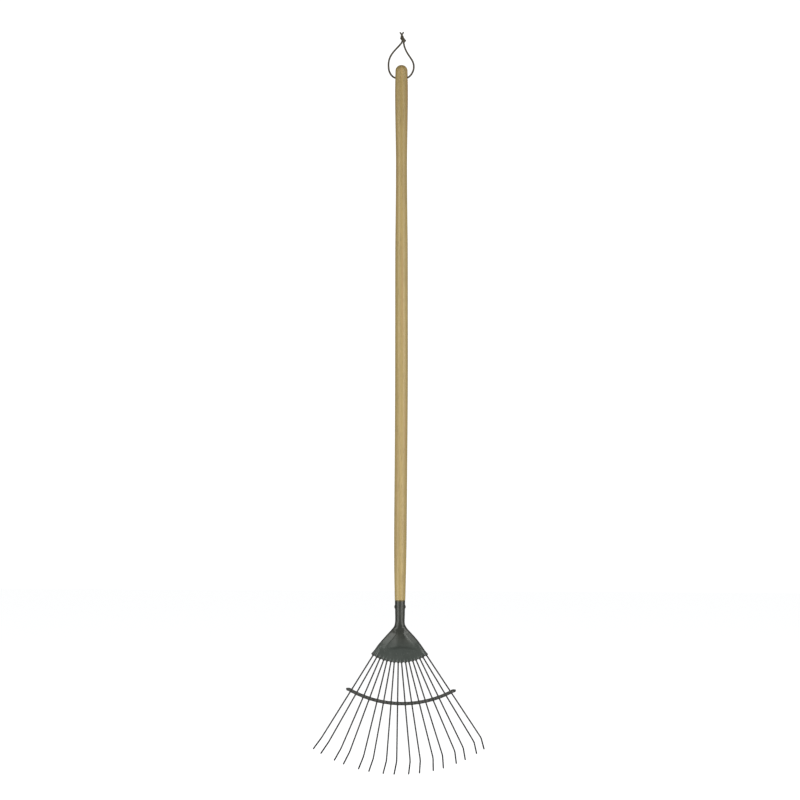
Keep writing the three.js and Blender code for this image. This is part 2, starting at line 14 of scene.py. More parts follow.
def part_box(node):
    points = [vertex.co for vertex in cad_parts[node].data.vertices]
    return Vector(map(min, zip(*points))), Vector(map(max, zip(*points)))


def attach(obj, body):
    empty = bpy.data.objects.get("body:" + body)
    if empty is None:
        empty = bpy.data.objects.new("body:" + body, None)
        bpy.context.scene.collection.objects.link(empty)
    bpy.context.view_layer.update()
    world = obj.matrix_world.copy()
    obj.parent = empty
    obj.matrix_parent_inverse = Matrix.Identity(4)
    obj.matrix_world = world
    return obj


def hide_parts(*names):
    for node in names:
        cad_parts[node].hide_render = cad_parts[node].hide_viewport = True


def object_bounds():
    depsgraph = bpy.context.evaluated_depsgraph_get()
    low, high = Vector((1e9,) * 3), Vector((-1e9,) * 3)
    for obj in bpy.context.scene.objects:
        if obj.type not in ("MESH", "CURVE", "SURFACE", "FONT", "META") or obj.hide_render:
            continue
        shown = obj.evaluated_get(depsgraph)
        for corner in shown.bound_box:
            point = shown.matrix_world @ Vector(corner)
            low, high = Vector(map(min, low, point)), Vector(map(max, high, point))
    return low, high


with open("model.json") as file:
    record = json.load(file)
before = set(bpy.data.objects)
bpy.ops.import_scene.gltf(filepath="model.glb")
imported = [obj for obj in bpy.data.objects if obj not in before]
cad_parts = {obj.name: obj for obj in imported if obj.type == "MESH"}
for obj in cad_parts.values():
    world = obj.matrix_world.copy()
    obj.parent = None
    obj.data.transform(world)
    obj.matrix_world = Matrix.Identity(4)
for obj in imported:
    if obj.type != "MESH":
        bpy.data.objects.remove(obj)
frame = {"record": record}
cad_box = [list(corner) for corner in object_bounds()]

MM = 0.001

# ---- places taken from the frame

GAP = 0.3 * MM                     # clearance that the CAD keeps between pieces that touch

handle_low, handle_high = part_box("handle")
_, shell_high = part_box("head_shell")
_, plate_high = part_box("rear_plate")
cross_low, cross_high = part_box("socket_rivet")

HANDLE_TOP = handle_high.z
TENON_FOOT = handle_low.z
SHOULDER_Z = shell_high.z + GAP    # the socket's mouth stands a gap below the handle's shoulder
HEAD_X = (cross_low.x + cross_high.x) / 2
SOCKET_RIVET_Z = (cross_low.z + cross_high.z) / 2
REAR_BACK_Y = plate_high.y
CORD_HOLE_Z = frame["record"]["behaviour"]["joints"][0]["pos_m"][2]
MIDDLE_Z = (cad_box[0][2] + cad_box[1][2]) / 2

# ---- sizes that the CAD model shares

CROWN_HEIGHT = 13 * MM             # rounded top of the handle
CROWN_RADIUS = 13.6 * MM
HANDLE_LENGTH = HANDLE_TOP - SHOULDER_Z
BOW_START = 650 * MM               # below the crown, where the shaft starts to lean
BOW_END = 1260 * MM                # and where it stands straight again
CORD_HOLE_RADIUS = 3.5 * MM

SHEET = 1.2 * MM                   # head steel
SOCKET_MOUTH_RADIUS = 11.6 * MM
SOCKET_FOOT_RADIUS = 10.6 * MM
SEAM_HALF_ANGLE = math.radians(6)
FAN_CENTRE_Z = SHOULDER_Z - 33.5 * MM
FAN_RADIUS = 108.5 * MM            # fan centre to the lower edge of the head
CORNER_DROP = 2.6 * MM
HEAD_LEAN = math.radians(0.8)
FLANGE_Y = 4 * MM                  # middle of the flat of the fan plate
DOME_END = 77 * MM                 # fan radius where the pressed dome has run out
DOME_STEP = 4.5 * MM
LEFT_FLANGE = 15.5 * MM            # from the foot of the dome to the side edge
RIGHT_FLANGE = 11.5 * MM

REAR_THICKNESS = 1 * MM
REAR_TOP_RADIUS = 73 * MM
REAR_INSET = math.radians(3.2)

WIRE = 3.3 * MM
WIRE_Y = REAR_BACK_Y - REAR_THICKNESS - GAP - WIRE / 2
HAIRPIN_RADIUS = 88 * MM
PAIR_SPACING = math.radians(8.9)
EDGE_HALF_GAP = 4.7 * MM
TIP_HALF_GAP = 11.6 * MM
OUTER_GAP_LOSS = 2.2 * MM
TIP_BEND_RADIUS = 330 * MM
TIP_BEND_ANGLE = math.radians(70)
TIP_LENGTH = 64 * MM
TIP_LEAN = 0.7                     # degrees, and more in the rightmost pair
LAST_TIP_LEAN = 2.2
TIP_ANGLES = [-31, -22.1, -12.6, -3.4, 5.9, 14.9, 23.7, 31.9]
PAIRS = len(TIP_ANGLES)

BRACE_WIDTH = 7.6 * MM
BRACE_THICKNESS = 1 * MM
BRACE_RADIUS = 242 * MM
BRACE_OFFSET_X = 3 * MM
BRACE_DEPTH = 200 * MM
BRACE_TOP = 2.5 * MM
BRACE_FOOT = 5.5 * MM

CORD = 4 * MM

# ---- arithmetic


def lerp(a, b, t):
    return a + (b - a) * t


def clamp(value, low=0.0, high=1.0):
    return min(max(value, low), high)


def smoothstep(value, low, high):
    t = clamp((value - low) / (high - low))
    return t * t * (3 - 2 * t)


def spaced(start, end, count):
    """count values from start to end, both included."""
    return [lerp(start, end, i / (count - 1)) for i in range(count)]


def curve_value(points, x):
    """A smooth curve through (x, y) pairs, read at x."""
    if x <= points[0][0]:
        return points[0][1]
    if x >= points[-1][0]:
        return points[-1][1]
    after = next(i for i, (at, _) in enumerate(points) if at >= x)
    before = after - 1

    def slope(i):
        low, high = max(i - 1, 0), min(i + 1, len(points) - 1)
        return (points[high][1] - points[low][1]) / (points[high][0] - points[low][0])

    width = points[after][0] - points[before][0]
    t = (x - points[before][0]) / width
    a, b = points[before][1], points[after][1]
    return (
        a * (2 * t**3 - 3 * t**2 + 1)
        + b * (3 * t**2 - 2 * t**3)
        + slope(before) * width * (t**3 - 2 * t**2 + t)
        + slope(after) * width * (t**3 - t**2)
    )


def spline(points, steps):
    """A smooth line through the points, with that many steps between each two."""
    padded = [points[0] * 2 - points[1], *points, points[-1] * 2 - points[-2]]
    places = []
    for before, start, end, after in zip(padded, padded[1:], padded[2:], padded[3:]):
        for step in range(steps):
            t = step / steps
            places.append(
                (
                    start * 2
                    + (end - before) * t
                    + (before * 2 - start * 5 + end * 4 - after) * t**2
                    + (start * 3 - before - end * 3 + after) * t**3
                )
                / 2
            )
    places.append(points[-1])
    return places


# ---- mesh helpers


def make_object(name, mesh, sharp_above=40):
    mesh.shade_smooth()
    mesh.set_sharp_from_angle(angle=math.radians(sharp_above))
    piece = bpy.data.objects.new(name, mesh)
    bpy.context.scene.collection.objects.link(piece)
    return piece


def mesh_piece(name, vertices, faces, sharp_above=40):
    """A closed mesh with its faces turned outward."""
    shape = bmesh.new()
    corners = [shape.verts.new(place) for place in vertices]
    for face in faces:
        shape.faces.new([corners[i] for i in face])
    bmesh.ops.recalc_face_normals(shape, faces=shape.faces)
    mesh = bpy.data.meshes.new(name)
    shape.to_mesh(mesh)
    shape.free()
    return make_object(name, mesh, sharp_above)


def loft(name, rings, sharp_above=40):
    """A skin over rings of points. A ring of one point closes an end to a pole."""
    vertices, starts = [], []
    for ring in rings:
        starts.append(len(vertices))
        vertices.extend(ring)
    faces = []
    placed = list(zip(rings, starts))
    for (ring, start), (after, follows) in zip(placed, placed[1:]):
        count = max(len(ring), len(after))
        for i in range(count):
            j = (i + 1) % count
            if len(ring) == 1:
                faces.append((start, follows + i, follows + j))
            elif len(after) == 1:
                faces.append((start + i, start + j, follows))
            else:
                faces.append((start + i, start + j, follows + j, follows + i))
    for ring, start in ((rings[0], starts[0]), (rings[-1], starts[-1])):
        if len(ring) > 1:
            faces.append(tuple(range(start, start + len(ring))))
    return mesh_piece(name, vertices, faces, sharp_above)


def revolve_rings(profile, origin, axis, sides):
    """Rings round an axis, from (distance along it, radius) pairs. A radius of 0 is a pole."""
    axis = axis.normalized()
    side = axis.orthogonal().normalized()
    lift = axis.cross(side)
    turns = [2 * math.pi * i / sides for i in range(sides)]
    rings = []
    for along, radius in profile:
        centre = origin + axis * along
        if radius == 0:
            rings.append([centre])
            continue
        rings.append(
            [centre + (side * math.cos(t) + lift * math.sin(t)) * radius for t in turns]
        )
    return rings


def frames_along(places):
    """A tangent, side and lift at each place, turned no more than the line itself turns."""
    tangents = []
    for i in range(len(places)):
        before, after = places[max(i - 1, 0)], places[min(i + 1, len(places) - 1)]
        tangents.append((after - before).normalized())
    side = tangents[0].orthogonal().normalized()
    frames = []
    for before, tangent in zip([tangents[0], *tangents], tangents):
        side = before.rotation_difference(tangent) @ side
        side = (side - tangent * side.dot(tangent)).normalized()
        frames.append((tangent, side, tangent.cross(side)))
    return frames


def round_bar_rings(places, radius, sides, wobble=None):
    """Rings of a round bar with round ends, along a line. wobble(i, turn) scales the radius."""
    turns = [2 * math.pi * i / sides for i in range(sides)]
    frames = frames_along(places)

    def ring(i, centre, size):
        _, side, lift = frames[i]
        points = []
        for turn in turns:
            reach = size * (wobble(i, turn) if wobble else 1)
            points.append(centre + (side * math.cos(turn) + lift * math.sin(turn)) * reach)
        return points

    rings = [ring(i, place, radius) for i, place in enumerate(places)]
    first_tangent, last_tangent = frames[0][0], frames[-1][0]
    start = [places[0] - first_tangent * radius]
    end = [places[-1] + last_tangent * radius]
    opening, closing = [], []
    for angle in (30, 60):
        reach = radius * math.sin(math.radians(angle))
        size = radius * math.cos(math.radians(angle))
        opening.insert(0, ring(0, places[0] - first_tangent * reach, size))
        closing.append(ring(len(places) - 1, places[-1] + last_tangent * reach, size))
    return [start, *opening, *rings, *closing, end]


RIM_ANGLES = [math.radians(angle) for angle in (0, 25, 50, 72, 90)]
RIM = [(1 - math.cos(angle), math.sin(angle)) for angle in RIM_ANGLES]  # step in, and fullness


def with_rim(start, end, inner, half):
    """Stations between two edges, close together at the rounded edges, with the fullness at each."""
    opening = [(start + half * step, full) for step, full in RIM]
    closing = [(end - half * step, full) for step, full in reversed(RIM)]
    return opening + [(station, 1.0) for station in inner] + closing


def thick_sheet(name, middle, fullness, thickness, rim=None):
    """Sheet metal with rounded edges. middle is a grid of points, and fullness scales the thickness.

    rim is a grid too, 1 where the sheet's side edge is and 0 away from it, for the finish to paint shade
    along the side edges.
    """
    rows, columns = len(middle), len(middle[0])
    vertices, rim_shade_weights = [], []
    front = [[0] * columns for _ in range(rows)]
    back = [[0] * columns for _ in range(rows)]
    for i in range(rows):
        for j in range(columns):
            down = middle[min(i + 1, rows - 1)][j] - middle[max(i - 1, 0)][j]
            over = middle[i][min(j + 1, columns - 1)] - middle[i][max(j - 1, 0)]
            half = down.cross(over).normalized() * (thickness / 2 * fullness[i][j])
            front[i][j] = len(vertices)
            vertices.append(middle[i][j] - half)
            if fullness[i][j] < 1e-6:
                back[i][j] = front[i][j]
            else:
                back[i][j] = len(vertices)
                vertices.append(middle[i][j] + half)
            rim_shade_weights += [rim[i][j] if rim else 0] * (len(vertices) - len(rim_shade_weights))
    faces = []
    for i in range(rows - 1):
        for j in range(columns - 1):
            for side in (front, back):
                faces.append((side[i][j], side[i][j + 1], side[i + 1][j + 1], side[i + 1][j]))
    sheet = mesh_piece(name, vertices, faces, sharp_above=50)
    sheet.data.attributes.new("rim", "FLOAT", "POINT").data.foreach_set("value", rim_shade_weights)
    return sheet


def bake_modifiers(piece):
    """Replaces the mesh by what its modifiers make of it."""
    depsgraph = bpy.context.evaluated_depsgraph_get()
    mesh = bpy.data.meshes.new_from_object(piece.evaluated_get(depsgraph))
    piece.modifiers.clear()
    old = piece.data
    piece.data = mesh
    bpy.data.meshes.remove(old)


def drill(piece, cutters):
    """Cuts the cutters out of the piece, and removes them."""
    for cutter in cutters:
        modifier = piece.modifiers.new("drill", "BOOLEAN")
        modifier.operation = "DIFFERENCE"
        modifier.solver = "EXACT"
        modifier.object = cutter
    bake_modifiers(piece)
    for cutter in cutters:
        bpy.data.objects.remove(cutter)


def drill_bit(origin, axis, reach, radius, sides=32):
    return loft("drill_bit", revolve_rings([(-reach, radius), (reach, radius)], origin, axis, sides))


# ---- camera

CAMERA_DISTANCE = 6.5
CAMERA_TURN = math.radians(4.6)    # the rake is seen a little from its right, at its middle height
PICTURE_SIZE = 1.8                 # what the picture spans at the handle
AIM_ABOVE_MIDDLE = 4.5 * MM
SENSOR = 36


def make_camera():
    aim = Vector((HEAD_X, 0, MIDDLE_Z + AIM_ABOVE_MIDDLE))
    away = Vector((math.sin(CAMERA_TURN), -math.cos(CAMERA_TURN), 0))
    camera = bpy.data.objects.new("camera", bpy.data.cameras.new("camera"))
    camera.data.sensor_width = SENSOR
    camera.data.lens = SENSOR * CAMERA_DISTANCE / PICTURE_SIZE
    camera.data.clip_end = 50
    camera.location = aim + away * CAMERA_DISTANCE
    camera.rotation_euler = (-away).to_track_quat("-Z", "Y").to_euler()
    bpy.context.scene.collection.objects.link(camera)
    bpy.context.scene.camera = camera


make_camera()

# ---- thong and knot

# The route of the thong, as (x, z): out of the knot, down the left side, through the handle and up again.
CORD_ROUTE = [
    (0.6, 1.8), (-5.4, -5.2), (-12.6, -12.8), (-18.8, -19.8), (-23.9, -27.2), (-27.4, -35.2),
    (-29.1, -43.8), (-29.2, -53.0), (-27.8, -61.8), (-24.2, -69.4), (-19.2, -74.8), (-13.6, -77.4),
    (-7, -78.1), (0, -78.2), (7, -78.1), (13.4, -77.3), (18.6, -73.8), (23.2, -68.2), (26.3, -61.6),
    (27.7, -54.4), (27.2, -47.0), (24.7, -39.8), (20.0, -32.1), (14.8, -24.4), (10.1, -16.0),
    (6.8, -7.6), (5.0, 0.4),
]

# The line between the two strands as they run through the overhand knot, from the loop to the tails, and
# the direction from one strand to the other: up behind, over the top, down across the front, and back up.
KNOT_ROUTE = [
    ((3.0, 0.0, 3.6), (1, 0, 0)),
    ((3.4, 1.6, 6.6), (1, 0, 0.1)),
    ((2.4, 3.3, 10.4), (1, 0, 0.4)),
    ((0.6, 1.6, 12.8), (1, 0, 0.9)),
    ((-0.1, -1.3, 12.7), (1, 0, 1)),
    ((1.5, -3.9, 10.5), (1, 0, 1)),
    ((3.9, -4.5, 7.8), (1, 0, 1)),
    ((6.4, -3.6, 5.3), (1, 0, 1)),
    ((7.5, 0.0, 4.5), (0.8, 0, 1)),
    ((7.0, 3.2, 5.6), (1, 0, 1)),
    ((4.4, 4.4, 8.6), (1, 0, 0.8)),
    ((2.2, 1.6, 12.2), (1, 0, 0.3)),
    ((1.2, 0.0, 15.2), (1, 0, 0)),
]
KNOT_CORD = 3.6 * MM               # the strands are squeezed a little in the knot
TAIL_CROSSING = (0.8, 1.3, 18.8)   # one strand passes in front of the other here, the other behind
TAIL_ENDS = [(4.1, -0.9, 24.2), (-2.9, 0.9, 24.2)]


def thong_wobble(seed):
    """Cut leather is never quite round: a slow change of thickness along it."""

    def scale(i, turn):
        along = noise.noise(Vector((i * 0.09, seed, 0)))
        around = noise.noise(Vector((i * 0.05, math.cos(turn) + seed, math.sin(turn))))
        return 1 + 0.05 * along + 0.05 * around

    return scale


def make_thong():
    points = [Vector((x * MM, 0, z * MM)) for x, z in CORD_ROUTE]
    places = spline(points, 8)
    rings = round_bar_rings(places, CORD / 2, 20, wobble=thong_wobble(3.7))
    return loft("thong_loop", rings), places


def knot_strand(side, loop_end, tail_end):
    """Rings of one strand of the knot. side is -1 or 1."""
    centres = spline([Vector(place) * MM for place, _ in KNOT_ROUTE], 8)
    acrosses = spline([Vector(across) for _, across in KNOT_ROUTE], 8)
    places = []
    for centre, across, (tangent, _, _) in zip(centres, acrosses, frames_along(centres)):
        across = (across - tangent * across.dot(tangent)).normalized()
        places.append(centre + across * (side * KNOT_CORD / 2))
    x, y, z = TAIL_CROSSING
    crossing = Vector((x, side * y, z)) * MM
    opening = spline([loop_end, places[0], places[4]], 4)[:5]
    closing = spline([places[-4], places[-1], crossing, Vector(tail_end) * MM], 6)[7:]
    line = opening[:-1] + places + closing
    return round_bar_rings(line, KNOT_CORD / 2, 16, wobble=thong_wobble(side * 5.3))


def make_knot(loop_line):
    """Both strands side by side through the overhand knot, fused where they press on each other."""
    joined = bmesh.new()
    for side, loop_end, tail_end in zip((-1, 1), (loop_line[0], loop_line[-1]), TAIL_ENDS):
        strand = loft("strand", knot_strand(side, loop_end, tail_end))
        joined.from_mesh(strand.data)
        bpy.data.objects.remove(strand)
    mesh = bpy.data.meshes.new("thong_knot")
    joined.to_mesh(mesh)
    joined.free()
    piece = make_object("thong_knot", mesh)
    fuse = piece.modifiers.new("fuse", "REMESH")
    fuse.mode = "VOXEL"
    fuse.voxel_size = 0.25 * MM
    soften = piece.modifiers.new("soften", "SMOOTH")
    soften.factor = 0.5
    soften.iterations = 3
    bake_modifiers(piece)
    piece.data.shade_smooth()
    return piece


thong, thong_line = make_thong()
knot = make_knot(thong_line)

# ---- handle

# Distance below the crown, and radius: a hand swell, a waist, the long shaft, the taper to the socket.
HANDLE_PROFILE = [
    (13, 13.6), (38, 14.2), (65, 14.5), (92, 14.3), (133, 13.7), (180, 12.9), (214, 12.5), (281, 12.7),
    (349, 13.4), (416, 14.1), (560, 14.3), (720, 14.4), (880, 14.2), (1060, 14.2), (1125, 13.6),
    (1165, 12.8), (1204, 11.9),
]


def shaft_x(z):
    """Sideways place of the shaft's middle at a height."""
    return HEAD_X * smoothstep(HANDLE_TOP - z, BOW_START, BOW_END)


def socket_radius(z):
    along = (SHOULDER_Z - z) / (SHOULDER_Z - FAN_CENTRE_Z + 12 * MM)
    return lerp(SOCKET_MOUTH_RADIUS, SOCKET_FOOT_RADIUS, clamp(along))


def handle_profile():
    """Heights and radii from the crown to the foot of the tenon."""
    profile = [(HANDLE_TOP, 0)]
    for angle in spaced(0, math.pi / 2, 14)[1:]:
        fall = CROWN_HEIGHT * (1 - math.cos(angle))
        profile.append((HANDLE_TOP - fall, CROWN_RADIUS * math.sin(angle)))
    known = [(below * MM, radius * MM) for below, radius in HANDLE_PROFILE]
    chamfer = 0.5 * MM
    for below in spaced(CROWN_HEIGHT, HANDLE_LENGTH - chamfer, 200)[1:]:
        profile.append((HANDLE_TOP - below, curve_value(known, below)))
    shoulder = known[-1][1]
    profile.append((SHOULDER_Z, shoulder - chamfer))
    bore = SHEET + GAP
    profile.append((SHOULDER_Z, socket_radius(SHOULDER_Z) - bore))
    profile.append((TENON_FOOT + chamfer, socket_radius(TENON_FOOT) - bore))
    profile.append((TENON_FOOT, socket_radius(TENON_FOOT) - bore - chamfer))
    profile.append((TENON_FOOT, 0))
    return profile


def cord_hole_bit():
    """A drill along X whose mouths flare, so the thong doesn't bear on a sharp edge."""
    surface = 13.9 * MM
    half = [
        (0, 0),
        (surface - 2 * MM, 0),
        (surface - 0.8 * MM, 0.3 * MM),
        (surface + 0.4 * MM, 1.3 * MM),
        (surface + 3 * MM, 3.5 * MM),
    ]
    both = [(-along, flare) for along, flare in reversed(half[1:])] + half
    profile = [(along, CORD_HOLE_RADIUS + flare) for along, flare in both]
    origin = Vector((0, 0, CORD_HOLE_Z))
    return loft("cord_hole_bit", revolve_rings(profile, origin, Vector((1, 0, 0)), 40))


def socket_rivet_bit():
    origin = Vector((HEAD_X, 0, SOCKET_RIVET_Z))
    return drill_bit(origin, Vector((1, 0, 0)), SOCKET_MOUTH_RADIUS + 5 * MM, 2.1 * MM)


def make_handle():
    profile = [(-height, radius) for height, radius in handle_profile()]
    rings = revolve_rings(profile, Vector((0, 0, 0)), Vector((0, 0, -1)), 72)
    for ring in rings:
        for place in ring:
            place.x += shaft_x(place.z)
    handle = loft("ash_handle", rings, sharp_above=32)
    drill(handle, [cord_hole_bit(), socket_rivet_bit()])
    return handle


handle = make_handle()

# ---- wire tines

TIP_CURVE = 10 * MM                # radius of the wire's middle line in the tip bend


def fan_point(radius, angle, y=WIRE_Y):
    """A point at a distance from the fan centre, and at an angle from straight down."""
    return Vector((HEAD_X + radius * math.sin(angle), y, FAN_CENTRE_Z - radius * math.cos(angle)))


def leg_point(pair, side, radius):
    """The straight part of one leg, side = -1 or 1, at a distance from the fan centre."""
    edge = FAN_RADIUS + 5 * MM
    tip_half = TIP_HALF_GAP - OUTER_GAP_LOSS * (TIP_ANGLES[pair] / 31) ** 2
    head_angle = (pair - (PAIRS - 1) / 2) * PAIR_SPACING - HEAD_LEAN / 3
    start = fan_point(edge, head_angle + side * EDGE_HALF_GAP / edge)
    end = fan_point(TIP_BEND_RADIUS, math.radians(TIP_ANGLES[pair]) + side * tip_half / TIP_BEND_RADIUS)
    return start.lerp(end, (radius - edge) / (TIP_BEND_RADIUS - edge))


def tip_places(pair, side):
    """From the end of the straight part, round the tip bend to the end of the wire."""
    setback = TIP_CURVE * math.tan(TIP_BEND_ANGLE / 2)
    bend = leg_point(pair, side, TIP_BEND_RADIUS)
    outward = (bend - leg_point(pair, side, HAIRPIN_RADIUS)).normalized()
    lean = math.radians(lerp(TIP_LEAN, LAST_TIP_LEAN, smoothstep(pair, PAIRS - 3, PAIRS - 1)))
    towards = Vector((-math.sin(lean), -math.cos(lean), 0))
    places = []
    for angle in spaced(0, TIP_BEND_ANGLE, 13):
        reach = outward * (math.sin(angle) * TIP_CURVE) + towards * ((1 - math.cos(angle)) * TIP_CURVE)
        places.append(bend - outward * setback + reach)
    along = outward * math.cos(TIP_BEND_ANGLE) + towards * math.sin(TIP_BEND_ANGLE)
    rest = TIP_LENGTH - setback - WIRE / 2
    return places + [places[-1] + along * (rest * i / 8) for i in range(1, 9)]


def hairpin_places(pair):
    """The U-bend that joins the two legs."""
    left, right = leg_point(pair, -1, HAIRPIN_RADIUS), leg_point(pair, 1, HAIRPIN_RADIUS)
    middle = (left + right) / 2
    across = right - middle
    inward = Vector((-across.z, 0, across.x))
    return [middle - across * math.cos(a) + inward * math.sin(a) for a in spaced(0, math.pi, 25)]


def make_tine_pair(pair):
    def leg(side):
        start, end = leg_point(pair, side, HAIRPIN_RADIUS), tip_places(pair, side)[0]
        return [start.lerp(end, i / 14) for i in range(1, 14)]

    left = list(reversed(leg(-1) + tip_places(pair, -1)))
    right = leg(1) + tip_places(pair, 1)
    line = left + hairpin_places(pair) + right
    return loft(f"wire_pair_{pair + 1}", round_bar_rings(line, WIRE / 2, 16))


tine_pairs = [make_tine_pair(pair) for pair in range(PAIRS)]

# ---- head

LEGS = [
    (leg_point(pair, side, HAIRPIN_RADIUS), leg_point(pair, side, FAN_RADIUS))
    for pair in range(PAIRS)
    for side in (-1, 1)
]
FLUTE_HALF = 4.3 * MM              # half the width of the flute that is pressed over each wire
FLUTE_START = (11, 32)             # mm above the lower edge, at inner wires and at the outermost ones
FLUTE_FULL = (3, 22)
SHELL_FLUTE = (-0.3 * MM, 0.6 * MM)  # shift along Y over a wire, and between wires
PLATE_FLUTE = (0.4 * MM, -1.1 * MM)
OUTERMOST_SHIFT = 0.5 * MM         # both plates are this much further forward over the outermost wires
SCALLOP = 1.5 * MM                 # the lower edge dips by this at a wire, and rises by it between wires
SCALLOP_BAND = 7 * MM
NECK_DEPTH = 25 * MM               # below the fan centre, where the socket opens into the shoulders
NECK_SOFTNESS = 3.5 * MM
SHOULDER_SLOPE = 1.005
SHOULDER_BOW = 2.3                 # per metre: the shoulders get steeper as they spread
EAR = 2.2 * MM                     # the lower corners stand out by this


def over_a_wire(x, z):
    """1 on a wire of the head, falling to 0 half way to the next wire."""
    nearest = FLUTE_HALF
    for start, end in LEGS:
        along = end - start
        nearest = min(nearest, abs((x - start.x) * along.z - (z - start.z) * along.x) / along.length)
    return 0.5 + 0.5 * math.cos(math.pi * nearest / FLUTE_HALF)


def pressed(place, over_wire, between_wires):
    """Shapes the band of a plate that grips the wires: flutes, and an edge that dips at each wire."""
    out = Vector((place.x - HEAD_X, 0, place.z - FAN_CENTRE_Z))
    radius = out.length
    outermost = smoothstep(abs(out.x) / radius, 0.48, 0.54)
    start = FAN_RADIUS - lerp(*FLUTE_START, outermost) * MM
    full = FAN_RADIUS - lerp(*FLUTE_FULL, outermost) * MM
    fluted = smoothstep(radius, start, full)
    if fluted == 0:
        return place
    wire = over_a_wire(place.x, place.z)
    dip = SCALLOP * (2 * wire - 1) * smoothstep(radius, FAN_RADIUS - SCALLOP_BAND, FAN_RADIUS)
    place = place + out.normalized() * dip
    place.y += fluted * lerp(between_wires, over_wire - OUTERMOST_SHIFT * outermost, wire)
    return place


def outline_half_width(depth):
    """Half width of the head at a depth below the fan centre: socket, spreading shoulders, small ears."""
    run = NECK_SOFTNESS * math.log1p(math.exp((depth - NECK_DEPTH) / NECK_SOFTNESS))
    ear = EAR * smoothstep(depth, 74 * MM, 90 * MM)
    return socket_radius(FAN_CENTRE_Z - depth) + SHOULDER_SLOPE * run - SHOULDER_BOW * run * run + ear


def unrolling(radius):
    """0 in the socket, and 1 from where the sheet has opened out into the fan."""
    return smoothstep(radius, 10 * MM, 32 * MM)


def row_curvature(radius):
    """How much a row of the sheet curves round the fan centre: not at all in the socket."""
    return smoothstep(radius, 20 * MM, 60 * MM) / max(radius, MM)


def edge_reach(radius):
    """Distance along a row from the middle to the side edge."""
    curvature = row_curvature(radius)
    reach = outline_half_width(radius)
    if curvature == 0:
        return reach
    for _ in range(30):
        depth = radius - (1 - math.cos(reach * curvature)) / curvature
        reach = math.asin(min(outline_half_width(depth) * curvature, 1)) / curvature
    return reach


def socket_section(across, radius):
    """Middle of the sheet in the socket, across = -1..1 from one edge of the seam to the other."""
    turn = across * (math.pi - SEAM_HALF_ANGLE)
    middle = socket_radius(FAN_CENTRE_Z - radius) - SHEET / 2
    return Vector((middle * math.sin(turn), -middle * math.cos(turn), 0))


def fan_section(across, radius, reach):
    """Middle of the sheet in the fan: a dome, flanges that slope back, and turned-back side edges."""
    side = abs(across)
    out = side * reach
    spread = smoothstep(radius, 36 * MM, 58 * MM)
    opened = smoothstep(radius, 24 * MM, 44 * MM)
    lowered = smoothstep(radius, 36 * MM, 70 * MM)
    # On the left the dome ends in a terrace before the flange, and on the right it runs on into it.
    # held is the share of the dome's height that is left where the flange begins. At its sides the dome
    # runs on further from the fan centre than in its middle, by end_drop.
    if across < 0:
        flange, tilt, fullness, power = LEFT_FLANGE, 0.24, 2, 2
        held = lerp(0.86, 0.42, lowered)
        end_drop, end_power = 9 * MM, 1
    else:
        flange, tilt, fullness, power = RIGHT_FLANGE, 0.36, lerp(2, 3, spread), 1
        held = lerp(0.5, 0.1, lowered)
        end_drop, end_power = 13 * MM, 2
    dome_half = reach - opened * flange
    offset = min(out / dome_half, 1)
    beyond = max(out - dome_half, 0)
    end_here = radius - end_drop * offset**end_power
    neck_height = FLANGE_Y + SOCKET_FOOT_RADIUS
    settled = clamp((end_here - 12 * MM) / (58 * MM))
    ridge = lerp(DOME_STEP, neck_height, (1 - settled) ** 1.8)
    height = ridge * (1 - smoothstep(end_here, DOME_END - 9 * MM, DOME_END))
    arch = (1 - side**2) ** 0.6
    domed = held * (1 - beyond / flange) + (1 - held) * (1 - offset**fullness) ** power
    flat_again = 1 - smoothstep(radius, 72 * MM, 83 * MM)
    sloped = max(tilt - held * height / flange, 0) * beyond * opened * flat_again
    lip = lerp(2.6, 1.8, smoothstep(radius, 62 * MM, 82 * MM)) * MM
    turned = clamp((out - (reach - lip)) / lip)
    back = 1.15 * lip * smoothstep(radius, 26 * MM, 50 * MM) * turned**1.25
    return Vector((across * reach, FLANGE_Y - height * lerp(arch, domed, opened) + sloped + back, 0))


def sheet_row(radius, across_list):
    """One row of the middle of the sheet, from the left edge to the right edge."""
    unrolled = unrolling(radius)
    reach = edge_reach(radius) - SHEET / 2
    flat = [
        socket_section(across, radius).lerp(fan_section(across, radius, reach), unrolled)
        for across in across_list
    ]
    stretch = reach / max(point.x for point in flat)
    curvature = row_curvature(radius)
    middle_x = HEAD_X - max(radius, 0) * math.tan(HEAD_LEAN)
    drop = CORNER_DROP * smoothstep(radius, 80 * MM, FAN_RADIUS)
    row = []
    for point, across in zip(flat, across_list):
        along = point.x * stretch
        if curvature == 0:
            place = Vector((middle_x + along, point.y, FAN_CENTRE_Z - radius))
        else:
            x = math.sin(along * curvature) / curvature
            lift = (1 - math.cos(along * curvature)) / curvature
            place = Vector((middle_x + x, point.y, FAN_CENTRE_Z - radius + lift - drop * across**2))
        row.append(pressed(place, *SHELL_FLUTE))
    return row


def rivet_places():
    """A rivet goes through the middle of each hairpin's U-bend."""
    return [
        leg_point(pair, -1, HAIRPIN_RADIUS).lerp(leg_point(pair, 1, HAIRPIN_RADIUS), 0.5)
        for pair in range(PAIRS)
    ]


def pair_rivet_bits():
    return [drill_bit(place, Vector((0, 1, 0)), 12 * MM, 2.05 * MM) for place in rivet_places()]


